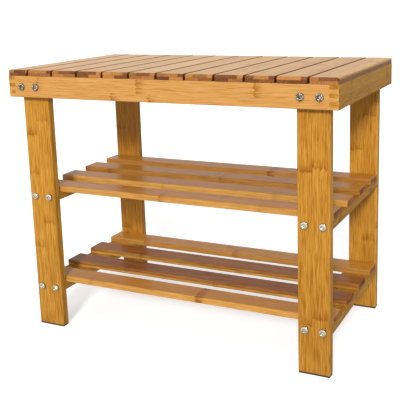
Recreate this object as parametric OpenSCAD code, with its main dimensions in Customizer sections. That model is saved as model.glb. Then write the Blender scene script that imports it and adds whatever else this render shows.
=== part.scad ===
// Slatted bamboo bench with two open shoe shelves, flat-packed and bolted together.
// Millimetres. Origin on the floor under the middle of the bench, +X to the right, front at -Y, +Z up.

/* [Bench] */
// Overall length of the seat
bench_l = 500; // [380:1:900]
// Overall width of the seat, front to back
bench_w = 280; // [220:1:420]
// Height of the seat's top above the floor
bench_h = 398; // [330:1:520]

/* [Seat slats] */
// Thickness of a seat slat
seat_slat_t = 9; // [7:0.5:14]
// Gap between two seat slats
seat_gap = 3; // [2:0.5:8]
// Width of the slat at the left end
first_slat_w = 34; // [26:0.5:50]
// Width of the slat at the right end
last_slat_w = 37; // [26:0.5:50]
// Round-over along the seat's outer top edge
seat_edge_r = 4; // [1:0.5:6]
// Radius of the seat's corners seen from above
seat_corner_r = 4.5; // [2:0.5:10]

/* [Seat frame] */
// Height of all four rails
rail_h = 31; // [25:0.5:50]
// Thickness of the front and back rails
rail_t = 13; // [10:0.5:20]
// Thickness of the two end rails
end_rail_t = 12; // [9:0.5:20]
// Play in the finger joints, on each side of a finger
finger_clear = 0.05; // [0.02:0.01:0.2]
// Radius of the frame's outer upright corners
frame_corner_r = 2.5; // [1:0.5:6]

/* [Legs] */
// Width of a leg, along the bench
leg_w = 44; // [38:0.5:60]
// Thickness of a leg, front to back
leg_t = 13; // [10:0.5:22]
// Air between a leg and the end rail beside it
leg_end_gap = 2.5; // [0.5:0.5:30]
// Air between the top of a leg and the slats
leg_top_gap = 1; // [0.5:0.5:6]
// Thickness of the pad under a leg
pad_t = 2.5; // [1.5:0.5:5]
// How far a pad stays inside the leg's edges
pad_inset = 0.2; // [0:0.1:2]

/* [Shelves] */
// Height of the upper shelf's top above the floor
upper_shelf_z = 221; // [190:1:300]
// Height of the lower shelf's top above the floor
lower_shelf_z = 77.5; // [50:0.5:120]
// Width of a shelf slat
shelf_slat_w = 35; // [28:0.5:44]
// Thickness of a shelf slat
shelf_slat_t = 9; // [7:0.5:14]
// Air between a leg and the nearest shelf slat
shelf_side_gap = 2; // [1:0.5:8]
// Height of the crossbars that carry a shelf
crossbar_h = 12; // [11:0.5:22]

/* [Edges] */
// Easing of the boards' long edges
edge_r = 1.2; // [0.5:0.1:2]
// Easing of the shelf slats' upper edges
shelf_edge_r = 2; // [0.5:0.1:3.5]
// Easing of sawn ends and of edges that meet another board
fine_r = 0.5; // [0.3:0.1:1]

/* [Bolts] */
// Thread diameter of the bolts
bolt_d = 6; // [5:1:8]
// Diameter of a bolt's head
bolt_head_d = 10.5; // [10:0.5:14]
// Height of a bolt's head
bolt_head_h = 3.2; // [2:0.1:4]
// Rounding of a bolt head's rim
head_rim_r = 1.4; // [0.4:0.1:1.8]
// Width across flats of the hexagon socket
socket_af = 4; // [3:0.5:6]
// Depth of the hexagon socket
socket_depth = 2.4; // [1.5:0.1:3]
// Distance between the two bolts of a pair
bolt_spacing = 25; // [20:0.5:32]
// Play of a bolt in a plain hole, on the radius
bolt_clear = 0.25; // [0.1:0.05:0.6]
// Play of a bolt in the thread of an insert nut, on the radius
thread_clear = 0.05; // [0.02:0.01:0.1]

/* [Insert nuts] */
// Wall of an insert nut, from its thread to its outside
insert_wall = 1; // [0.8:0.1:1.5]
// Length of an insert nut
insert_l = 12; // [8:0.5:14]
// Free depth past the tip of a bolt, dowel or screw
tip_gap = 1; // [0.5:0.1:3]

/* [Dowels and screws] */
// Diameter of the dowels under the seat slats
dowel_d = 5; // [4:0.5:6]
// Depth of a dowel in its slat
dowel_in_slat = 5; // [3:0.5:6]
// Depth of a dowel in its rail
dowel_in_rail = 9; // [6:0.5:10]
// Shank diameter of a shelf screw
screw_d = 3.5; // [3:0.5:4]
// Head diameter of a shelf screw
screw_head_d = 7; // [6:0.5:8]
// Height of a shelf screw's countersunk head
screw_head_h = 2.4; // [2:0.1:3]
// Depth of a shelf screw in its slat
screw_in_slat = 6; // [4:0.5:6.5]
// Distance between the two screws of a shelf slat
screw_spacing = 18; // [12:0.5:22]
// Play of a screw in its crossbar, on the radius
screw_clear = 0.15; // [0.1:0.05:0.5]

/* [Hidden] */
$fn = 48;
cut = 1; // how far a cutting shape reaches past a face

seat_slats = 12;
shelf_slats = 4;
finger_rows = 6;

x_end = bench_l / 2;
y_face = bench_w / 2;
slat_z = bench_h - seat_slat_t;
rail_z = slat_z - rail_h;
finger_h = rail_h / finger_rows;
inner_slat_w = (bench_l - first_slat_w - last_slat_w - (seat_slats - 1) * seat_gap) / (seat_slats - 2);

leg_x = x_end - end_rail_t - leg_end_gap - leg_w / 2;  // middle of a leg
leg_out = leg_x + leg_w / 2;                           // outer edge of a leg and end of the shelves
leg_face = y_face - rail_t;                            // outer face of a leg
leg_back = leg_face - leg_t;                           // inner face of a leg
leg_top = slat_z - leg_top_gap;

shelf_w = 2 * (leg_back - shelf_side_gap);
shelf_pitch = (shelf_w - shelf_slat_w) / (shelf_slats - 1);
seat_bolt_z = rail_z + rail_h / 2;
seat_bolt_l = rail_t + leg_t - tip_gap;
shelf_bolt_l = leg_t + insert_l;
insert_d = bolt_d + 2 * insert_wall;
seat_insert_l = leg_t - tip_gap;
bolt_hole_d = bolt_d + 2 * bolt_clear;
upper_bar_z = upper_shelf_z - shelf_slat_t - crossbar_h;
lower_bar_z = lower_shelf_z - shelf_slat_t - crossbar_h;
screw_l = crossbar_h + screw_in_slat;
screw_tip_h = 2;      // cone at a screw's tip
bolt_tip_h = 0.8;     // chamfer at a bolt's tip
recess_w = 0.9;       // arm of a screw's cross recess
recess_depth = 1.4;

bamboo = "burlywood";
golden = "goldenrod";
tan_wood = "tan";
brown_wood = "peru";
steel = "silver";
brass = "darkgoldenrod";
black = "dimgray";

// Width, left edge and middle of seat slat i, counted from 0 at the left end
function slat_w(i) = i == 0 ? first_slat_w : i == seat_slats - 1 ? last_slat_w : inner_slat_w;
function slat_x(i) = -x_end + (i == 0 ? 0 : first_slat_w + seat_gap + (i - 1) * (inner_slat_w + seat_gap));
function slat_mid(i) = slat_x(i) + slat_w(i) / 2;

// Middle of shelf slat i, counted from 0 at the front
function shelf_y(i) = -shelf_w / 2 + shelf_slat_w / 2 + i * shelf_pitch;

// ---- building blocks ----

// A rectangle with its own radius at each corner: [lower left, lower right, upper right, upper left]
module rounded_rect(size, r) {
    corners = [[0, 0], [size[0], 0], size, [0, size[1]]];
    difference() {
        square(size);
        for (k = [0:3])
            if (r[k] > 0)
                translate(corners[k])
                    rotate(90 * k)
                        difference() {
                            translate([-cut, -cut])
                                square(r[k] + cut);
                            translate([r[k], r[k]])
                                circle(r[k]);
                        }
    }
}

// A board whose section in each of the three planes is a rounded rectangle
module board(size, xy, yz, xz) {
    intersection() {
        linear_extrude(size[2])
            rounded_rect([size[0], size[1]], xy);
        rotate([90, 0, 90])
            linear_extrude(size[0])
                rounded_rect([size[1], size[2]], yz);
        translate([0, size[1], 0])
            rotate([90, 0, 0])
                linear_extrude(size[1])
                    rounded_rect([size[0], size[2]], xz);
    }
}

// A cylinder along Y that starts at y, at the height z, and runs towards +Y
module y_rod(y, z, d, l) {
    translate([0, y, z])
        rotate([-90, 0, 0])
            cylinder(d = d, h = l);
}

// The places of the two bolts of a leg, on the side sx
module each_bolt(sx) {
    for (dx = [-bolt_spacing / 2, bolt_spacing / 2])
        translate([sx * leg_x + dx, 0, 0])
            children();
}

// The same shape on the left and the right
module both_ends() {
    for (sx = [-1, 1])
        each_bolt(sx)
            children();
}

// The same shape at the front and, turned round, at the back
module both_faces() {
    for (turn = [0, 180])
        rotate(turn)
            children();
}

// ---- seat frame ----

// The outside of the whole rail frame, which gives all four rails their outer edges
module frame_block() {
    r = frame_corner_r;
    translate([-x_end, -y_face, rail_z])
        board(
            [bench_l, bench_w, rail_h],
            [r, r, r, r],
            [edge_r, edge_r, fine_r, fine_r],
            [edge_r, edge_r, fine_r, fine_r]
        );
}

// Cuts for every second row of fingers at the right front corner of the frame, counted from the top.
// Rows 0, 2 and 4 are cut from a long rail, and rows 1, 3 and 5 from an end rail.
module finger_cuts(first) {
    over_x = first == 0 ? 0 : cut;
    over_y = first == 0 ? cut : 0;
    for (k = [first:2:finger_rows - 1]) {
        low = k == finger_rows - 1 ? cut : finger_clear;
        high = k == 0 ? cut : finger_clear;
        translate([x_end - end_rail_t - over_x, -y_face - cut, slat_z - (k + 1) * finger_h - low])
            cube([end_rail_t + over_x + cut, rail_t + cut + over_y, finger_h + low + high]);
    }
}

// The front rail, with slots for the end rails' fingers, holes for four bolts and one dowel for each slat
module long_rail() {
    difference() {
        intersection() {
            frame_block();
            translate([-x_end - cut, -y_face - cut, rail_z - cut])
                cube([bench_l + 2 * cut, rail_t + cut, rail_h + 2 * cut]);
        }
        for (side = [0, 1])
            mirror([side, 0, 0])
                finger_cuts(0);
        both_ends()
            y_rod(-y_face - cut, seat_bolt_z, bolt_hole_d, rail_t + 2 * cut);
        dowel_holes();
    }
}

// The right end rail
module end_rail() {
    difference() {
        intersection() {
            frame_block();
            translate([x_end - end_rail_t, -y_face - cut, rail_z - cut])
                cube([end_rail_t + cut, bench_w + 2 * cut, rail_h + 2 * cut]);
        }
        for (side = [0, 1])
            mirror([0, side, 0])
                finger_cuts(1);
    }
}

// ---- dowels between the slats and the front rail ----

module dowel(x, play) {
    translate([x, -y_face + rail_t / 2, slat_z - dowel_in_rail - play])
        cylinder(d = dowel_d, h = dowel_in_rail + dowel_in_slat + 2 * play);
}

module dowel_holes() {
    for (i = [0:seat_slats - 1])
        dowel(slat_mid(i), tip_gap);
}

// ---- seat slats ----

// Slat i of the seat: the end slats carry the big round-over and the rounded corners of the seat
module seat_slat(i) {
    left_top = i == 0 ? seat_edge_r : edge_r;
    right_top = i == seat_slats - 1 ? seat_edge_r : edge_r;
    left_corner = i == 0 ? seat_corner_r : fine_r;
    right_corner = i == seat_slats - 1 ? seat_corner_r : fine_r;
    color(i % 3 == 1 ? tan_wood : bamboo)
        difference() {
            translate([slat_x(i), -y_face, slat_z])
                board(
                    [slat_w(i), bench_w, seat_slat_t],
                    [left_corner, right_corner, right_corner, left_corner],
                    [fine_r, fine_r, seat_edge_r, seat_edge_r],
                    [fine_r, fine_r, right_top, left_top]
                );
            for (side = [0, 1])
                mirror([0, side, 0])
                    dowel(slat_mid(i), tip_gap);
        }
}

// ---- legs ----

// A front leg, on the side sx
module leg(sx) {
    r = edge_r;
    f = fine_r;
    color(golden)
        difference() {
            translate([sx * leg_x - leg_w / 2, -leg_face, pad_t])
                board([leg_w, leg_t, leg_top - pad_t], [r, r, r, r], [f, f, f, f], [f, f, f, f]);
            each_bolt(sx) {
                for (z = [seat_bolt_z, upper_bar_z + crossbar_h / 2, lower_bar_z + crossbar_h / 2])
                    y_rod(-leg_face - cut, z, bolt_hole_d, leg_t + 2 * cut);
                y_rod(-leg_back - seat_insert_l, seat_bolt_z, insert_d, seat_insert_l + cut);
            }
        }
}

module pad(sx) {
    r = edge_r;
    f = fine_r;
    size = [leg_w - 2 * pad_inset, leg_t - 2 * pad_inset, pad_t];
    color(black)
        translate([sx * leg_x - size[0] / 2, -leg_face + pad_inset, 0])
            board(size, [r, r, r, r], [f, f, 0, 0], [f, f, 0, 0]);
}

// ---- shelves ----

// The crossbar between the front and the back leg on the side sx, its underside at z
module crossbar(sx, z) {
    r = edge_r;
    f = fine_r;
    color(golden)
        difference() {
            translate([sx * leg_x - leg_w / 2, -leg_back, z])
                board([leg_w, 2 * leg_back, crossbar_h], [0, 0, 0, 0], [0, 0, 0, 0], [r, r, f, f]);
            both_faces()
                each_bolt(sx)
                    y_rod(-leg_back - cut, z + crossbar_h / 2, insert_d, insert_l + tip_gap + cut);
            each_screw(sx)
                translate([0, 0, z])
                    screw_hole();
        }
}

// Slat i of the shelf whose top is at z
module shelf_slat(i, z) {
    e = shelf_edge_r;
    r = edge_r;
    f = fine_r;
    color(i % 2 == 0 ? bamboo : brown_wood)
        difference() {
            translate([-leg_out, shelf_y(i) - shelf_slat_w / 2, z - shelf_slat_t])
                board([2 * leg_out, shelf_slat_w, shelf_slat_t], [r, r, r, r], [f, f, e, e], [f, f, r, r]);
            for (sx = [-1, 1])
                for (dy = [-1, 1])
                    translate([sx * leg_x, shelf_y(i) + dy * screw_spacing / 2, z - shelf_slat_t - cut])
                        cylinder(d = screw_d, h = screw_in_slat + tip_gap + cut);
        }
}

// ---- fasteners ----

// The places of the screws in the crossbar on the side sx
module each_screw(sx) {
    for (i = [0:shelf_slats - 1])
        for (dy = [-1, 1])
            translate([sx * leg_x, shelf_y(i) + dy * screw_spacing / 2, 0])
                children();
}

// A countersunk screw that points up, its head flush with z = 0
module screw() {
    head_r = screw_head_d / 2;
    shank_r = screw_d / 2;
    difference() {
        rotate_extrude()
            polygon([
                [0, 0], [head_r, 0], [shank_r, screw_head_h],
                [shank_r, screw_l - screw_tip_h], [0, screw_l]
            ]);
        for (turn = [0, 90])
            rotate(turn)
                translate([-shank_r, -recess_w / 2, -cut])
                    cube([screw_d, recess_w, recess_depth + cut]);
    }
}

// The countersunk hole for a screw through a crossbar whose underside is at z = 0
module screw_hole() {
    head_r = screw_head_d / 2;
    hole_r = screw_d / 2 + screw_clear;
    rotate_extrude()
        polygon([
            [0, -cut], [head_r, -cut], [head_r, 0], [hole_r, screw_head_h],
            [hole_r, crossbar_h + cut], [0, crossbar_h + cut]
        ]);
}

module shelf_screws(z) {
    color(steel)
        for (sx = [-1, 1])
            each_screw(sx)
                translate([0, 0, z])
                    screw();
}

// A bolt that points towards +Y, with the underside of its head at y = 0
module bolt(l) {
    head_r = bolt_head_d / 2;
    thread_r = bolt_d / 2;
    rotate([-90, 0, 0])
        difference() {
            union() {
                rotate_extrude()
                    translate([0, -bolt_head_h])
                        rounded_rect([head_r, bolt_head_h], [0, head_rim_r, 0, 0]);
                cylinder(r = thread_r, h = l - bolt_tip_h);
                translate([0, 0, l - bolt_tip_h])
                    cylinder(r1 = thread_r, r2 = thread_r - bolt_tip_h, h = bolt_tip_h);
            }
            translate([0, 0, -bolt_head_h - cut])
                cylinder(d = socket_af / cos(30), h = socket_depth + cut, $fn = 6);
        }
}

// The bolts of all four legs at one height, their heads on the face at y = -face
module bolts(face, z, l) {
    color(steel)
        both_faces()
            both_ends()
                translate([0, -face, z])
                    bolt(l);
}

// The insert nuts of all four legs at one height, each starting at y = -start
module insert_nuts(start, z, l) {
    color(brass)
        both_faces()
            both_ends()
                difference() {
                    y_rod(-start, z, insert_d, l);
                    y_rod(-start - cut, z, bolt_d + 2 * thread_clear, l + 2 * cut);
                }
}

// ---- the pieces ----

module front_rail() { color(bamboo) long_rail(); }
module back_rail() { color(bamboo) mirror([0, 1, 0]) long_rail(); }
module left_end_rail() { color(golden) mirror([1, 0, 0]) end_rail(); }
module right_end_rail() { color(golden) end_rail(); }

module seat_dowels() {
    color(bamboo)
        for (side = [0, 1])
            mirror([0, side, 0])
                for (i = [0:seat_slats - 1])
                    dowel(slat_mid(i), 0);
}

module front_left_leg() { leg(-1); }
module front_right_leg() { leg(1); }
module back_left_leg() { mirror([0, 1, 0]) leg(-1); }
module back_right_leg() { mirror([0, 1, 0]) leg(1); }

module front_left_pad() { pad(-1); }
module front_right_pad() { pad(1); }
module back_left_pad() { mirror([0, 1, 0]) pad(-1); }
module back_right_pad() { mirror([0, 1, 0]) pad(1); }

module upper_left_crossbar() { crossbar(-1, upper_bar_z); }
module upper_right_crossbar() { crossbar(1, upper_bar_z); }
module lower_left_crossbar() { crossbar(-1, lower_bar_z); }
module lower_right_crossbar() { crossbar(1, lower_bar_z); }

module upper_shelf_screws() { shelf_screws(upper_bar_z); }
module lower_shelf_screws() { shelf_screws(lower_bar_z); }

module seat_bolts() { bolts(y_face, seat_bolt_z, seat_bolt_l); }
module upper_shelf_bolts() { bolts(leg_face, upper_bar_z + crossbar_h / 2, shelf_bolt_l); }
module lower_shelf_bolts() { bolts(leg_face, lower_bar_z + crossbar_h / 2, shelf_bolt_l); }

module seat_insert_nuts() { insert_nuts(leg_back + seat_insert_l, seat_bolt_z, seat_insert_l); }
module upper_insert_nuts() { insert_nuts(leg_back, upper_bar_z + crossbar_h / 2, insert_l); }
module lower_insert_nuts() { insert_nuts(leg_back, lower_bar_z + crossbar_h / 2, insert_l); }

front_rail();
back_rail();
left_end_rail();
right_end_rail();
seat_slat(0);  // seat_slat_01
seat_slat(1);  // seat_slat_02
seat_slat(2);  // seat_slat_03
seat_slat(3);  // seat_slat_04
seat_slat(4);  // seat_slat_05
seat_slat(5);  // seat_slat_06
seat_slat(6);  // seat_slat_07
seat_slat(7);  // seat_slat_08
seat_slat(8);  // seat_slat_09
seat_slat(9);  // seat_slat_10
seat_slat(10);  // seat_slat_11
seat_slat(11);  // seat_slat_12
seat_dowels();
front_left_leg();
front_right_leg();
back_left_leg();
back_right_leg();
front_left_pad();
front_right_pad();
back_left_pad();
back_right_pad();
upper_left_crossbar();
upper_right_crossbar();
lower_left_crossbar();
lower_right_crossbar();
shelf_slat(0, upper_shelf_z);  // upper_shelf_slat_1
shelf_slat(1, upper_shelf_z);  // upper_shelf_slat_2
shelf_slat(2, upper_shelf_z);  // upper_shelf_slat_3
shelf_slat(3, upper_shelf_z);  // upper_shelf_slat_4
shelf_slat(0, lower_shelf_z);  // lower_shelf_slat_1
shelf_slat(1, lower_shelf_z);  // lower_shelf_slat_2
shelf_slat(2, lower_shelf_z);  // lower_shelf_slat_3
shelf_slat(3, lower_shelf_z);  // lower_shelf_slat_4
upper_shelf_screws();
lower_shelf_screws();
seat_bolts();
upper_shelf_bolts();
lower_shelf_bolts();
seat_insert_nuts();
upper_insert_nuts();
lower_insert_nuts();
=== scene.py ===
import math
import random
import bpy
import numpy as np
from mathutils import Matrix, Vector


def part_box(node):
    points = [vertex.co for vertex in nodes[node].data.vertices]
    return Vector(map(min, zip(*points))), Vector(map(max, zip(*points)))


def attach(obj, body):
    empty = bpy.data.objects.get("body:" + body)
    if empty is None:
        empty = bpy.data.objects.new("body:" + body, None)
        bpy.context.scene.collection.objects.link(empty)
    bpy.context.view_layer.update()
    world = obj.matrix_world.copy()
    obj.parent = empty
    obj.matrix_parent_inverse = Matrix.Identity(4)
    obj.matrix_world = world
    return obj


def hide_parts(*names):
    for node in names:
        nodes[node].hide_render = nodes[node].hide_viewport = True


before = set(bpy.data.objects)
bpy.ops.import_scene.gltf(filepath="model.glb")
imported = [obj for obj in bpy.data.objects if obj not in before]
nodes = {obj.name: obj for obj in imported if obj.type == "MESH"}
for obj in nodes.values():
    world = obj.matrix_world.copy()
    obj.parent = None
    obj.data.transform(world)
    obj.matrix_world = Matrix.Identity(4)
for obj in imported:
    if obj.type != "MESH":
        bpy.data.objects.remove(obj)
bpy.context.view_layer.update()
print("frame loaded:", len(nodes), "pieces")


# a Wire wraps one socket, and sums of Wires become Math nodes
class Wire:
    def __init__(self, graph, socket):
        self.graph, self.socket = graph, socket

    def math(self, operation, *others):
        return self.graph.math(operation, self, *others)

    def __add__(self, other):
        return self.math("ADD", other)

    def __sub__(self, other):
        return self.math("SUBTRACT", other)

    def __mul__(self, other):
        return self.math("MULTIPLY", other)

    def __truediv__(self, other):
        return self.math("DIVIDE", other)

    def __rsub__(self, other):
        return self.graph.math("SUBTRACT", other, self)

    def __rtruediv__(self, other):
        return self.graph.math("DIVIDE", other, self)

    def __abs__(self):
        return self.math("ABSOLUTE")

    __radd__ = __add__
    __rmul__ = __mul__


class Graph:
    def __init__(self, owner):
        self.owner = owner
        owner.use_nodes = True
        self.tree = owner.node_tree
        self.tree.nodes.clear()

    # settings come first, because they change which sockets a node has
    def node(self, kind, settings=None, inputs=None, output=0):
        made = self.tree.nodes.new(kind)
        for key, value in (settings or {}).items():
            setattr(made, key, value)
        for key, value in (inputs or {}).items():
            if isinstance(value, Wire):
                self.tree.links.new(value.socket, made.inputs[key])
            else:
                made.inputs[key].default_value = value
        if output is None:
            return [Wire(self, socket) for socket in made.outputs]
        return Wire(self, made.outputs[output])

    def math(self, operation, *values):
        return self.node("ShaderNodeMath", {"operation": operation}, dict(enumerate(values)))

    def split(self, vector):
        return self.node("ShaderNodeSeparateXYZ", None, {0: vector}, None)

    def join(self, x, y, z):
        return self.node("ShaderNodeCombineXYZ", None, {0: x, 1: y, 2: z})

    def noise(self, x, y, z, detail=2.0, rough=0.5):
        sockets = {"Vector": self.join(x, y, z), "Scale": 1.0, "Detail": detail, "Roughness": rough}
        return self.node("ShaderNodeTexNoise", None, sockets)

    # 0 at low and 1 at high, smooth between; low may be the larger one
    def ease(self, value, low, high):
        sockets = {"Value": value, "From Min": low, "From Max": high}
        return self.node("ShaderNodeMapRange", {"interpolation_type": "SMOOTHSTEP"}, sockets)

    def mix(self, share, first, second, way="MIX"):
        sockets = {0: share, 6: self.colour(first), 7: self.colour(second)}
        return self.node("ShaderNodeMix", {"data_type": "RGBA", "blend_type": way}, sockets, 2)

    def colour(self, value):
        return value if isinstance(value, Wire) else (*value, 1.0)

    def bump(self, height, depth, strength=1.0):
        return self.node("ShaderNodeBump", None, {"Strength": strength, "Distance": depth, "Height": height})

    def finish(self, values):
        shader = self.node("ShaderNodeBsdfPrincipled", None, values)
        self.node("ShaderNodeOutputMaterial", None, {0: shader}, None)


# colours are linear; contrast is how far streaks go from the middle colour; the side tint, outside, foot,
# endLight and endDark are what a board's long side faces, the seat's outer side faces, a leg's foot and end
# grain take off it;
# the side tint and foot are painted shade; under is what the lowest layer adds, and ends is how square to the
# end a face is where end grain shows
bambooLook = {
    "rail": {"dark": (0.49, 0.230, 0.045), "middle": (0.68, 0.375, 0.112), "light": (0.78, 0.47, 0.19),
             "contrast": 1.0, "gloss": 0.08, "coat": 0.0, "layers": 2, "ends": (0.55, 0.85),
             "endLight": (0.84, 0.74, 0.55), "endDark": (0.56, 0.42, 0.26)},
    # leg: foot is painted shade, darker towards the floor
    "leg": {"dark": (0.36, 0.140, 0.008), "middle": (0.555, 0.270, 0.031), "light": (0.72, 0.40, 0.065),
            "contrast": 1.5, "gloss": 0.15, "coat": 0.0, "layers": 3, "ends": (0.55, 0.85),
            "foot": (0.72, 0.70, 0.78), "endLight": (0.70, 0.55, 0.40), "endDark": (0.40, 0.28, 0.20)},
    # seat: the side tint is painted shade in the gaps between slats; the outer side faces take the outside
    # colour, a darker brown below the round-over; ends start early, so the end grain colour also lays painted
    # shade on the front round-over
    "seat": {"dark": (0.56, 0.265, 0.045), "middle": (0.77, 0.425, 0.105), "light": (0.86, 0.53, 0.18),
             "contrast": 1.1, "gloss": 0.22, "coat": 0.18, "layers": 2, "ends": (0.12, 0.60),
             "sideShade": (0.20, 0.12, 0.055), "outside": (0.36, 0.25, 0.12),
             "endLight": (0.56, 0.39, 0.32), "endDark": (0.17, 0.085, 0.065)},
    # shelf: the side tint is painted shade on the slats' front and back edges
    "shelf": {"dark": (0.44, 0.175, 0.014), "middle": (0.60, 0.262, 0.030), "light": (0.72, 0.36, 0.062),
              "contrast": 1.1, "gloss": 0.22, "coat": 0.25, "layers": 2, "ends": (0.55, 0.85),
              "sideShade": (0.88, 0.98, 1.6), "endLight": (0.70, 0.52, 0.38), "endDark": (0.36, 0.20, 0.12)},
    # brown: the side tint is painted shade on the slats' edges; under is the lighter lowest layer of the cane
    "brown": {"dark": (0.19, 0.050, 0.005), "middle": (0.345, 0.112, 0.012), "light": (0.50, 0.20, 0.034),
              "contrast": 1.2, "gloss": 0.20, "coat": 0.13, "layers": 2, "ends": (0.55, 0.85),
              "sideShade": (0.72, 0.85, 1.2), "under": (1.6, 1.9, 2.1),
              "endLight": (0.70, 0.52, 0.38), "endDark": (0.36, 0.20, 0.12)},
}
# the end rails take a shaded copy of the rail colours, darker and less blue: painted shade for their side
# faces
bambooLook["shadedEndRail"] = {**bambooLook["rail"], "dark": (0.45, 0.215, 0.032), "middle": (0.65, 0.360, 0.062),
                         "light": (0.76, 0.46, 0.11)}
# the rear shelf slats take a darker side tint: painted shade of the seat on their edges
bambooLook["shadedBackShelf"] = {**bambooLook["shelf"], "sideShade": (0.62, 0.62, 0.85)}
bambooDetail = {
    "strip": 0.0205,                   # width of one strip of cane
    "stripShift": 9,                   # how far the streaks of one strip are moved against the next
    "layerStep": 0.37,                 # how far the strips of one layer are moved, as a share of a strip
    # noise stretched along the grain: how close it is along and across, its detail and its roughness
    "grain": {"crook": (25, 300, 2.0, 0.5), "broad": (9, 200, 1.0, 0.5), "streak": (24, 760, 2.0, 0.6),
              "fine": (55, 1300, 2.0, 0.6), "hue": (7, 230, 1.0, 0.5), "dash": (70, 900, 1.0, 0.5),
              "fan": (38, 560, 1.0, 0.5)},
    "hueLift": 40, "dashReach": (0.58, 0.70), "fanReach": (0.38, 0.56),
    "wave": (5, 40), "waveDepth": 0.002, "crookDepth": 0.0005,    # how the streaks wander sideways
    # how much each pattern lightens or darkens the wood
    "tone": {"broad": 0.8, "streak": 3.1, "fine": 1.9, "strip": 0.55, "dash": 0.22}, "toneReach": 0.95,
    "rosy": (0.62, 0.23, 0.07), "olive": (0.44, 0.28, 0.030),    # what some streaks lean to
    "hueWeight": 1.6, "stripHueWeight": 0.45, "hueReach": (0.05, 0.8),
    "lean": 0.55, "rosyShare": 0.75, "oliveShare": 0.65,
    "underEdge": (0.94, 0.88), "sideFacing": (0.15, 0.65),       # where under and sides begin
    "outerBand": (0.006, 0.005), "outerLean": 0.35,              # where outside begins
    "footHeight": 0.26, "footShare": 0.5,
    "mark": (0.60, 0.40, 0.16),        # what a joint of the cane takes off the colour
    "markGap": (0.15, 0.21),           # between two joints of one cane
    "markStart": 0.01, "markStrength": (0.3, 0.9),
    "markCrook": 0.013, "markBlur": 0.0003, "lineWidth": (0.0018, 0.0002),
    "fanAbove": (0.015, 0.001), "fanBelow": (-0.0025, 0.0),
    "lineShare": 0.35, "fanShare": 0.8, "fanLeast": 0.06,
    "glue": (0.62, 0.45, 0.30),        # what the line between two strips takes off the colour
    "glueShare": 0.6, "stripEdge": (0.022, 0.006), "layerEdge": (0.05, 0.02), "layerShare": 0.8,
    "endTone": {"strip": 0.9, "fine": 0.8, "streak": 0.6}, "endReach": 0.9,
    "relief": {"fine": 0.7, "streak": 0.5, "dash": 0.3, "glue": 0.7}, "fibreDepth": 0.00010,
    "rough": 0.42, "roughSpread": 0.15, "coatRough": 0.20,
    "boardSpread": 0.16,               # how much lighter or darker a whole board may be
    "seedStep": 1.37,                  # keeps the patterns of two boards apart
}
# joints of the cane that show in front: along the board, across it, half width, strength
shownMarks = {
    "front_rail": [(0.053, 0.021, 0.010, 0.5), (0.176, 0.0055, 0.0055, 0.9), (0.219, 0.021, 0.010, 1.0),
                   (0.236, 0.0055, 0.0055, 1.0), (0.391, 0.021, 0.010, 0.9)],
    "front_right_leg": [(0.280, 0.0307, 0.0102, 1.0), (0.275, 0.0102, 0.0102, 0.8),
                        (0.078, 0.0307, 0.0102, 1.0), (0.068, 0.0102, 0.0102, 0.6)],
    "front_left_leg": [(0.298, 0.0102, 0.0102, 0.9), (0.320, 0.0307, 0.0102, 0.5),
                       (0.239, 0.0102, 0.0102, 0.6), (0.164, 0.0307, 0.0102, 0.8),
                       (0.125, 0.0102, 0.0102, 0.7)],
    "lower_shelf_slat_1": [(0.267, 0.0175, 0.0180, 2.2), (0.086, 0.0065, 0.0103, 0.4),
                           (0.420, 0.0270, 0.0103, 0.5)],
    "upper_shelf_slat_4": [(0.305, 0.0175, 0.0180, 1.7), (0.120, 0.0065, 0.0103, 0.4)],
}


def marksFor(node, length, width, firstEdge, seed):
    if node in shownMarks:
        return shownMarks[node]
    detail = bambooDetail
    half = detail["strip"] / 2
    chance = random.Random(seed)
    marks = []
    left = firstEdge - detail["strip"]
    while left < width:
        at = chance.uniform(detail["markStart"], detail["markGap"][1])
        while at < length:
            marks.append((at, left + half, half, chance.uniform(*detail["markStrength"])))
            at += chance.uniform(*detail["markGap"])
        left += detail["strip"]
    return marks


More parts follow.
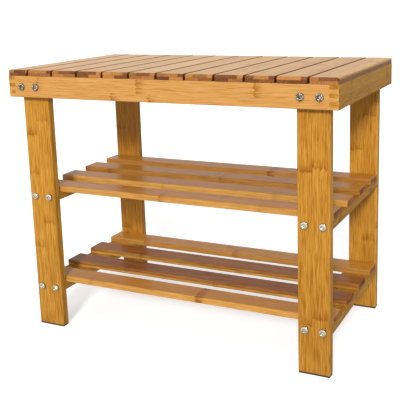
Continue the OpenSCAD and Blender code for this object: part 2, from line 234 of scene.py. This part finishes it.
# Strips of cane glued side by side in layers, as a solid pattern. along, across and deep are the place in
# the board from its low corner. A joint of the cane is a crooked dark line with short dark fibres fanning
# out above it.
def bambooMaterial(node, look, axes, firstEdge, seed, boardTone):
    detail = bambooDetail
    low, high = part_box(node)
    length, width, thickness = (high[i] - low[i] for i in axes)
    g = Graph(bpy.data.materials.new(node + "_bamboo"))
    place = g.split(g.node("ShaderNodeTexCoord", output="Object"))
    facing = g.split(g.node("ShaderNodeTexCoord", output="Normal"))
    along, across, deep = (place[i] - low[i] for i in axes)
    atEnd = g.ease(abs(facing[axes[0]]), *look["ends"])

    layerPlace = deep / (thickness / look["layers"])
    layer = layerPlace.math("FLOOR")
    layerShift = layer * detail["layerStep"] if look["layers"] < 3 else 0.0
    stripPlace = (across - firstEdge) / detail["strip"] + layerShift
    strip = stripPlace.math("FLOOR")
    chances = g.node("ShaderNodeTexWhiteNoise", None, {"Vector": g.join(strip, layer, seed)}, 1)
    stripTone, stripHue, stripShift = g.split(chances)
    shift = stripShift * detail["stripShift"] + seed

    def grain(kind, sideways, lift=None):
        alongScale, acrossScale, fineness, rough = detail["grain"][kind]
        inward = deep * acrossScale if lift is None else deep * acrossScale + lift
        return g.noise(along * alongScale + shift, sideways * acrossScale, inward, fineness, rough)

    fromMark = grain("crook", across) - 0.5
    waveAlong, waveAcross = detail["wave"]
    wave = g.noise(along * waveAlong + shift, across * waveAcross, seed) - 0.5
    side = across + wave * detail["waveDepth"] + fromMark * detail["crookDepth"]
    broad = grain("broad", side) - 0.5
    streak = grain("streak", side) - 0.5
    fine = grain("fine", side) - 0.5
    hue = grain("hue", side, detail["hueLift"]) - 0.5
    dash = g.ease(grain("dash", side), *detail["dashReach"])

    weight, reach = detail["tone"], detail["toneReach"]
    tone = (broad * weight["broad"] + streak * weight["streak"] + fine * weight["fine"]) * look["contrast"]
    tone = tone + (stripTone - 0.5) * weight["strip"] + boardTone
    wood = g.mix(g.ease(tone, 0.0, -reach), look["middle"], look["dark"])
    wood = g.mix(g.ease(tone, 0.0, reach), wood, look["light"])
    hueShare = hue * detail["hueWeight"] + (stripHue - 0.5) * detail["stripHueWeight"]
    hueLow, hueHigh = detail["hueReach"]
    for start, full, share, colour in ((hueLow, hueHigh, "rosyShare", "rosy"),
                                       (-hueLow, -hueHigh, "oliveShare", "olive")):
        leaning = g.mix(detail["lean"], look["middle"], detail[colour])
        wood = g.mix(g.ease(hueShare, start, full) * detail[share], wood, leaning)
    wood = g.mix(dash * weight["dash"] * look["contrast"], wood, look["dark"])

    def darkened(share, tint):
        return g.mix(share, wood, g.mix(1.0, wood, tint, "MULTIPLY"))

    if "under" in look:
        wood = darkened(g.ease(layerPlace, *detail["underEdge"]), look["under"])
    # painted shade: the side tint darkens the long side faces, in the gaps between seat slats and on the
    # shelf slats' edges
    if "sideShade" in look:
        toSide, sideShade = abs(facing[axes[1]]), look["sideShade"]
        if "outside" in look:
            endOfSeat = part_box("seat_slat_12")[1].x
            start, full = (endOfSeat - inset for inset in detail["outerBand"])
            outermost = g.ease(abs(place[axes[1]]), start, full)
            toSide = toSide - outermost * detail["outerLean"]
            sideShade = g.mix(outermost, look["sideShade"], look["outside"])
        wood = darkened(g.ease(toSide, *detail["sideFacing"]), sideShade)
    # painted shade: a leg darker towards the floor at its foot
    if "foot" in look:
        wood = darkened(g.ease(along, detail["footHeight"], 0.0) * detail["footShare"], look["foot"])

    fan = g.ease(grain("fan", side), *detail["fanReach"])
    crook = fromMark * detail["markCrook"]
    blur = detail["markBlur"]
    line = marks = 0.0
    for markAlong, markAcross, half, strength in marksFor(node, length, width, firstEdge, seed):
        away = along - markAlong + crook
        within = g.ease(abs(across - markAcross), half + blur, half - blur) * strength
        line = line + g.ease(abs(away), *detail["lineWidth"]) * within
        marks = marks + g.ease(away, *detail["fanAbove"]) * g.ease(away, *detail["fanBelow"]) * within
    fibres = marks * (fan * detail["fanShare"] + detail["fanLeast"])
    wood = darkened((line * detail["lineShare"] + fibres).math("MINIMUM", 1.0), detail["mark"])

    toEdge = 0.5 - abs(stripPlace.math("FRACT") - 0.5)
    toLayer = 0.5 - abs(layerPlace.math("FRACT") - 0.5)
    layerGlue = g.ease(toLayer, *detail["layerEdge"]) * detail["layerShare"]
    glue = g.ease(toEdge, *detail["stripEdge"]).math("MAXIMUM", layerGlue)
    wood = darkened(glue * detail["glueShare"], detail["glue"])

    # end grain colour; with the seat's early start it also lays painted shade on the slats' front round-over
    weight = detail["endTone"]
    endTone = stripTone * weight["strip"] + fine * weight["fine"] + streak * weight["streak"]
    endTint = g.mix(g.ease(endTone, 0.0, detail["endReach"]), look["endDark"], look["endLight"])
    wood = darkened(atEnd, endTint)

    weight = detail["relief"]
    relief = fine * weight["fine"] + streak * weight["streak"] - dash * weight["dash"] - glue * weight["glue"]
    g.finish({
        "Base Color": wood,
        "Roughness": detail["rough"] + fine * detail["roughSpread"] + atEnd * detail["roughSpread"],
        "Normal": g.bump(relief, detail["fibreDepth"]),
        "Specular IOR Level": look["gloss"],
        "Coat Weight": look["coat"],
        "Coat Roughness": detail["coatRough"],
    })
    return g.owner


def dress(node, material):
    for materialSlot in nodes[node].material_slots:
        materialSlot.material = material


def dressBoards(names, look, axes, firstEdge, seed):
    chance = random.Random(seed)
    for number, node in enumerate(names):
        tone = chance.uniform(-1, 1) * bambooDetail["boardSpread"]
        boardSeed = seed + number * bambooDetail["seedStep"]
        dress(node, bambooMaterial(node, bambooLook[look], axes, firstEdge, boardSeed, tone))


# which directions are along, across and through the boards
uprightLong, uprightDeep, upLeg = (0, 2, 1), (1, 2, 0), (2, 0, 1)
flatLong, flatDeep = (0, 1, 2), (1, 0, 2)
corners = ["front_left", "front_right", "back_left", "back_right"]
bars = [f"{level}_{side}_crossbar" for level in ("upper", "lower") for side in ("left", "right")]
seatSlats = [f"seat_slat_{number:02d}" for number in range(1, 13)]
goldenShelf = ["upper_shelf_slat_1", "upper_shelf_slat_2", "lower_shelf_slat_1"]
# rear shelf slats, whose edges take painted shade of the seat
shadedEdgeShelf = ["upper_shelf_slat_3", "upper_shelf_slat_4", "lower_shelf_slat_4"]
brownShelf = ["lower_shelf_slat_2", "lower_shelf_slat_3"]
dressBoards(["front_rail", "back_rail"], "rail", uprightLong, firstEdge=0.011, seed=3.1)
dressBoards(["left_end_rail", "right_end_rail"], "shadedEndRail", uprightDeep, firstEdge=0.011, seed=8.3)
dressBoards(seatSlats, "seat", flatDeep, firstEdge=0.019, seed=20.4)
dressBoards([corner + "_leg" for corner in corners], "leg", upLeg, firstEdge=0.0205, seed=51.7)
dressBoards(bars, "leg", flatDeep, firstEdge=0.0205, seed=70.2)
dressBoards(goldenShelf, "shelf", flatLong, firstEdge=0.0165, seed=81.9)
dressBoards(shadedEdgeShelf, "shadedBackShelf", flatLong, firstEdge=0.0165, seed=91.6)
dressBoards(brownShelf, "brown", flatLong, firstEdge=0.0165, seed=97.3)
dressBoards(["seat_dowels"], "leg", upLeg, firstEdge=0.0, seed=99.1)
print("bamboo boards dressed")


metalLook = {
    "nickel": (0.93, 0.88, 0.75), "nickelRough": 0.15,
    "mirrorRough": 0.10, "seatBoltReflectionShare": 0.85,      # the seat's bolts, which mirror more and have patches of painted dark reflection
    "steel": (0.60, 0.60, 0.60), "brass": (0.66, 0.47, 0.20), "plainRough": 0.35,
    # the colour of the painted shade and painted dark reflection on the bolts' sockets and rims
    "shadeAndReflection": (0.10, 0.075, 0.045),
    "smudgeScale": 700, "patchScale": 420, "patchReach": (0.40, 0.52), "grainScale": (6000, 900, 6000),
    "smudgeShade": 0.9, "roughShare": 0.7, "smudgeShare": 0.6,
    "scratch": 0.00002, "scratchStrength": 0.5,
}
rubberLook = {
    "dark": (0.012, 0.011, 0.010), "light": (0.035, 0.032, 0.030),
    "cells": 1500, "detail": 3.0, "detailRough": 0.7,
    "rough": 0.75, "roughSpread": 0.2, "depth": 0.0003, "strength": 0.7,
}


# an attribute, 1 in a socket and low on a rim, darkens the metal: painted shade and painted dark reflection
# around the socket and on the rim
def metalMaterial(name, colour, rough, paintedReflectionShare=0.0):
    look = metalLook
    g = Graph(bpy.data.materials.new(name))
    place = g.split(g.node("ShaderNodeTexCoord", output="Object"))
    shadeAndReflection = g.node("ShaderNodeAttribute", {"attribute_name": "shadeAndReflection"}, output=2)
    smudge = g.noise(*(value * look["smudgeScale"] for value in place), 2.0)
    grain = g.noise(*(value * scale for value, scale in zip(place, look["grainScale"])), 2.0)
    # painted dark reflection in patches, used on the seat's bolts
    patch = g.ease(g.noise(*(value * look["patchScale"] for value in place), 1.0), *look["patchReach"])
    shadeAndReflection = shadeAndReflection.math("MAXIMUM", patch * paintedReflectionShare)
    smudged = g.mix(smudge, [part * look["smudgeShade"] for part in colour], colour)
    g.finish({
        "Base Color": g.mix(shadeAndReflection, smudged, look["shadeAndReflection"]),
        "Metallic": 1.0,
        "Roughness": rough * look["roughShare"] + smudge * rough * look["smudgeShare"],
        "Normal": g.bump(grain, look["scratch"], look["scratchStrength"]),
    })
    return g.owner


def rubberMaterial(name):
    look = rubberLook
    g = Graph(bpy.data.materials.new(name))
    place = g.split(g.node("ShaderNodeTexCoord", output="Object"))
    cells = g.noise(*(value * look["cells"] for value in place), look["detail"], look["detailRough"])
    g.finish({
        "Base Color": g.mix(cells, look["dark"], look["light"]),
        "Roughness": look["rough"] + cells * look["roughSpread"],
        "Normal": g.bump(cells, look["depth"], look["strength"]),
    })
    return g.owner


nickel = metalMaterial("nickel_plate", metalLook["nickel"], metalLook["nickelRough"])
# the seat's bolts: nickel with patches of painted dark reflection
nickelPaintedReflections = metalMaterial("nickel_plate_painted_reflections", metalLook["nickel"], metalLook["mirrorRough"],
                           metalLook["seatBoltReflectionShare"])
steel = metalMaterial("screw_steel_plain", metalLook["steel"], metalLook["plainRough"])
brass = metalMaterial("insert_brass_plain", metalLook["brass"], metalLook["plainRough"])
for node in ("seat_bolts", "upper_shelf_bolts", "lower_shelf_bolts"):
    dress(node, nickel)
for node in ("upper_shelf_screws", "lower_shelf_screws"):
    dress(node, steel)
for node in ("seat_insert_nuts", "upper_insert_nuts", "lower_insert_nuts"):
    dress(node, brass)
for corner in corners:
    dress(corner + "_pad", rubberMaterial(corner + "_rubber"))


# the bolts are a profile of head and shank turned about its axis, with a hexagonal socket
boltLook = {
    "socketFlats": 0.004, "socketDepth": 0.0024, "socketFlare": 0.0005,
    "rimRound": 0.0014, "headHeight": 0.0032, "dish": 0.00015,
    "shankRadius": 0.003, "shankLength": 0.025, "pitch": 0.001, "threadDepth": 0.0003,
    "around": 72, "sharpAngle": 40,
    "topRings": 6, "rimRings": 10, "firstShare": 0.12,
    "spacing": 0.025,                  # between the two bolts of a pair
    "firstSeed": 5,
}


# radius, height over the board, how hexagonal each ring is and how much painted shade and reflection it
# takes, from the socket's middle to the tip
def boltProfile(look, headRadius):
    top, hexRadius, shankLength = look["headHeight"], look["socketFlats"] / 2, look["shankLength"]
    floor, flare, shank = top - look["socketDepth"], look["socketFlare"], look["shankRadius"]
    rings = [(0.0, floor, 1, 0.0), (hexRadius * 0.93, floor, 1, 0.0), (hexRadius, floor + 0.0002, 1, 0.1)]
    rings += [(hexRadius, top - flare - 0.0001, 1, 0.15), (hexRadius + 0.0001, top - flare, 0.9, 0.7)]
    start = hexRadius + flare * 1.3
    rings += [(hexRadius + flare * 0.75, top - flare * 0.35, 0.35, 0.8), (start, top - 0.0001, 0, 0.3)]
    flatEnd, sunk = headRadius - look["rimRound"], look["dish"]
    for share in np.linspace(look["firstShare"], 1, look["topRings"]):
        rings.append((start + (flatEnd - start) * share, top - sunk * share ** 2, 0, 0.0))
    for share in np.linspace(look["firstShare"], 1, look["rimRings"]):
        angle = share * math.pi / 2
        rings.append((flatEnd + look["rimRound"] * math.sin(angle),
                      top - sunk - look["rimRound"] * (1 - math.cos(angle)), 0, 0.9 * max(0, share - 0.35)))
    rings += [(headRadius, 0.0003, 0, 0.9), (headRadius - 0.0002, 0.0, 0, 0.9), (shank + 0.0003, 0.0, 0, 0.9)]
    rings += [(shank, -0.0004, 0, 0)]
    for height in np.arange(-0.45 * shankLength, -shankLength + 0.002, -look["pitch"]):
        rings += [(shank, height, 0, 0), (shank - look["threadDepth"], height - look["pitch"] / 2, 0, 0)]
    rings += [(shank - 0.0006, -shankLength, 0, 0), (0.0, -shankLength, 0, 0)]
    return np.array(rings, float)


# one bolt along +Y: ring radius runs between a circle and a hexagon, r / cos(angle inside one sixth)
def boltGrid(look, profile, turn):
    angle = np.linspace(0, 2 * math.pi, look["around"], endpoint=False)
    toFlat = np.mod(angle, math.pi / 3) - math.pi / 6
    hexagon = 1 / np.cos(toFlat)
    radius, height, share = (profile[:, i, None] for i in range(3))
    ring = radius * (1 + (hexagon - 1) * share)
    x, z = ring * np.cos(angle + turn), ring * np.sin(angle + turn)
    return np.stack([x, -height + 0 * x, z], -1)


# points and faces of a grid closed around its second direction, its first and last rings shrunk to poles
def closeGrid(grid):
    rows, columns = grid.shape[:2]
    middle = grid[1:-1].reshape(-1, 3)
    points = np.concatenate([middle, grid[0, :1], grid[-1, :1]])
    row, column = np.meshgrid(np.arange(rows - 3), np.arange(columns), indexing="ij")
    after = (column + 1) % columns
    quads = np.stack([row * columns + column, row * columns + after,
                      (row + 1) * columns + after, (row + 1) * columns + column], -1).reshape(-1, 4)
    first, last, ring = len(middle), len(middle) + 1, np.arange(columns)
    following = (ring + 1) % columns
    lastRow = (rows - 3) * columns
    caps = np.concatenate([np.stack([0 * ring + first, following, ring], -1),
                           np.stack([lastRow + ring, lastRow + following, 0 * ring + last], -1)])
    return points, quads, caps


def makePiece(name, parts, material, sharpAngle, shadeAndReflection):
    points, faces, start = [], [], 0
    for partPoints, quads, caps in parts:
        points.append(partPoints)
        faces += (quads + start).tolist() + (caps + start).tolist()
        start += len(partPoints)
    mesh = bpy.data.meshes.new(name)
    mesh.from_pydata(np.concatenate(points).tolist(), [], faces)
    mesh.polygons.foreach_set("use_smooth", np.ones(len(mesh.polygons), bool))
    mesh.set_sharp_from_angle(angle=math.radians(sharpAngle))
    mesh.attributes.new("shadeAndReflection", "FLOAT", "POINT").data.foreach_set("value", shadeAndReflection)
    mesh.materials.append(material)
    piece = bpy.data.objects.new(name, mesh)
    bpy.context.scene.collection.objects.link(piece)
    return piece


def makeBolts(node, seed):
    low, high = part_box(node)
    headRadius, height = (high.z - low.z) / 2, (high.z + low.z) / 2
    chance = random.Random(seed)
    head = boltLook["headHeight"]
    profile = boltProfile(boltLook, headRadius)
    parts = []
    for side in (1, -1):
        face = low.y + head if side == 1 else high.y - head
        for outer in (low.x + headRadius, high.x - headRadius):
            inner = outer - math.copysign(boltLook["spacing"], outer)
            for x in (outer, inner):
                grid = boltGrid(boltLook, profile, chance.uniform(0, math.pi / 3))
                grid = grid * [side, side, 1] + [x, face, height]
                parts.append(closeGrid(grid))
    # painted shade and reflection for each point, ring by ring, for every bolt
    ringShadeAndReflection = profile[:, 3]
    shadeAndReflection = np.concatenate([np.repeat(ringShadeAndReflection[1:-1], boltLook["around"]), ringShadeAndReflection[[0, -1]]])
    metal = nickelPaintedReflections if node == "seat_bolts" else nickel
    piece = makePiece(node + "_turned", parts, metal, boltLook["sharpAngle"], np.tile(shadeAndReflection, len(parts)))
    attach(piece, "root")
    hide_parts(node)


for seed, node in enumerate(["seat_bolts", "upper_shelf_bolts", "lower_shelf_bolts"]):
    makeBolts(node, boltLook["firstSeed"] + seed)
print("bolts turned")


cameraLook = {
    "place": (0.50917, -1.01025, 0.49988),
    "yaw": 24.906, "pitch": -11.324, "roll": -1.414,   # degrees, from looking along +Y
    "lens": 68.281, "sensor": 36, "farthest": 100,
    "shift": (-0.075, -0.138),
}


def makeCamera(look):
    data = bpy.data.cameras.new("camera")
    camera = bpy.data.objects.new("camera", data)
    bpy.context.scene.collection.objects.link(camera)
    turn = Matrix.Rotation(math.radians(look["yaw"]), 4, "Z")
    tilt = Matrix.Rotation(math.radians(90 + look["pitch"]), 4, "X")
    roll = Matrix.Rotation(math.radians(look["roll"]), 4, "Z")
    camera.matrix_world = Matrix.Translation(look["place"]) @ turn @ tilt @ roll
    data.sensor_width = look["sensor"]
    data.lens = look["lens"]
    data.shift_x, data.shift_y = look["shift"]
    data.clip_end = look["farthest"]
    bpy.context.scene.camera = camera


# a Way is how much x and y count towards a part of the sky; a Reach or Height is where it starts and is full
studioLook = {
    "floor": 0.82, "floorGlow": 0.49, "floorRough": 0.9, "floorGloss": 0.1,
    "floorRadius": 60.0, "floorPoints": 96,
    "dim": 0.14, "front": 0.48, "above": 0.60, "back": 0.55, "below": 0.28,    # parts of the sky
    "frontWay": (-0.1, -0.97), "frontReach": (-0.1, 0.85), "frontHeight": (-0.75, -0.2),
    "backWay": (-0.42, 0.9), "backReach": (0.5, 0.95), "backHeight": (0.62, 0.30),
    "leftWay": (-0.9, 0.4), "leftReach": (0.55, 0.88), "aboveHeight": (0.35, 0.95),
    "horizon": 1.05, "horizonLeft": 0.5, "horizonMiddle": 0.03, "horizonHeight": (0.19, 0.10),
    "belowHeight": (-0.02, -0.04),
    "key": 2.80, "keyFrom": (0.27, -0.90, 0.45), "keyAngle": 10,
}


# a disc: cosine and sine of the angle around, times its radius
def makeFloor(look):
    ring = np.linspace(0, 2 * math.pi, look["floorPoints"], endpoint=False)
    rim = np.stack([np.cos(ring), np.sin(ring), np.zeros_like(ring)], 1) * look["floorRadius"]
    mesh = bpy.data.meshes.new("floor")
    mesh.from_pydata(rim.tolist(), [], [list(range(len(ring)))])
    floor = bpy.data.objects.new("floor", mesh)
    bpy.context.scene.collection.objects.link(floor)
    g = Graph(bpy.data.materials.new("pale_floor"))
    g.finish({
        "Base Color": (look["floor"],) * 3 + (1,),
        "Roughness": look["floorRough"],
        "Specular IOR Level": look["floorGloss"],
        "Emission Color": (1, 1, 1, 1),
        "Emission Strength": look["floorGlow"],
    })
    mesh.materials.append(g.owner)
    floor.visible_diffuse = floor.visible_glossy = False    # light from below comes from the sky's lower half


# a white sky with a soft panel in front, one above, and a pale band behind the floor's far edge
def makeSky(look):
    world = bpy.data.worlds.new("studio")
    bpy.context.scene.world = world
    g = Graph(world)
    x, y, z = g.split(g.node("ShaderNodeTexCoord", output="Generated"))

    def towards(part):
        xShare, yShare = look[part + "Way"]
        return g.ease(y * yShare + x * xShare, *look[part + "Reach"])

    front = towards("front") * g.ease(z, *look["frontHeight"]) * look["front"]
    back = towards("back") * g.ease(z, *look["backHeight"]) * look["back"]
    level = front + back + g.ease(z, *look["aboveHeight"]) * look["above"] + look["dim"]
    band = g.ease(abs(z - look["horizonMiddle"]), *look["horizonHeight"])
    level = level.math("MAXIMUM", band * (look["horizon"] + towards("left") * look["horizonLeft"]))
    below = front + look["below"]
    level = level + g.ease(z, *look["belowHeight"]) * (below - level)
    sky = g.node("ShaderNodeBackground", None, {"Color": (1, 1, 1, 1), "Strength": level})
    g.node("ShaderNodeOutputWorld", None, {0: sky}, None)


def makeKey(look):
    data = bpy.data.lights.new("key", "SUN")
    data.energy, data.angle = look["key"], math.radians(look["keyAngle"])
    key = bpy.data.objects.new("key", data)
    bpy.context.scene.collection.objects.link(key)
    key.matrix_world = Vector(look["keyFrom"]).to_track_quat("Z", "Y").to_matrix().to_4x4()


makeCamera(cameraLook)
makeFloor(studioLook)
makeSky(studioLook)
makeKey(studioLook)
bpy.context.scene.view_settings.view_transform = "Standard"
print("studio ready")
